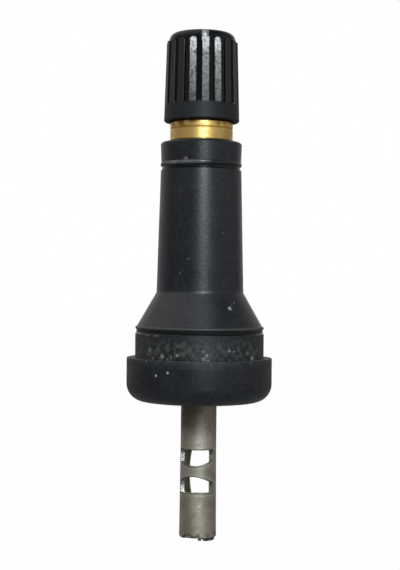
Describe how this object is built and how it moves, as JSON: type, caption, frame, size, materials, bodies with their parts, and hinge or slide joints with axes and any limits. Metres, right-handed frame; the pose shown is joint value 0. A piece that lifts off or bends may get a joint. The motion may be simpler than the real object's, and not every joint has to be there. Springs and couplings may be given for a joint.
{
  "type": "tyre valve",
  "caption": "Rubber snap-in tyre valve with a fluted screw cap, a brass stem, a sprung valve core and a windowed metal tail that carries a pressure sensor.",
  "frame": {"origin": "on the valve's axis, at the flange's upper sealing face, where the wheel rim rests", "axes": "+Z along the axis towards the cap; -Y is the side that shows the tail's two windows"},
  "size_m": [0.018, 0.018, 0.0623],
  "materials": {
    "cap_plastic": "moulded black plastic with a satin sheen",
    "body_rubber": "moulded black rubber, dusty and scuffed",
    "seal_rubber": "soft matt rubber",
    "brass": "turned brass",
    "tail_metal": "dull grey metal, mottled",
    "gasket": "smooth red gasket ring",
    "spring_steel": "bright drawn steel"
  },
  "bodies": {
    "valve_body": {"rubber_body": "body_rubber", "brass_stem": "brass", "tail_tube": "tail_metal", "core_plug": "brass", "core_barrel": "brass", "core_gasket": "gasket", "core_spring": "spring_steel"},
    "cap_seal": {"cap_seal": "seal_rubber"},
    "cap": {"cap_shell": "cap_plastic"},
    "pin": {"core_pin": "spring_steel", "core_cup": "brass", "core_cup_seal": "seal_rubber"}
  },
  "joints": [
    {"name": "cap_lift", "type": "slide", "parent": "valve_body", "child": "cap_seal", "axis": [0, 0, 1], "range_m": [0, 0.0071]},
    {"name": "cap_turn", "type": "hinge", "parent": "cap_seal", "child": "cap", "pos_m": [0, 0, 0.0345], "axis": [0, 0, 1], "range_deg": [0, 3240]},
    {"name": "pin_press", "type": "slide", "parent": "valve_body", "child": "pin", "axis": [0, 0, -1], "range_m": [0, 0.0012], "stiffness_N_per_m": 1500, "deforming": ["core_spring"]}
  ],
  "couplings": [
    {"joint": "cap_turn", "follows": "cap_lift", "rad_per_m": 7915.8}
  ]
}
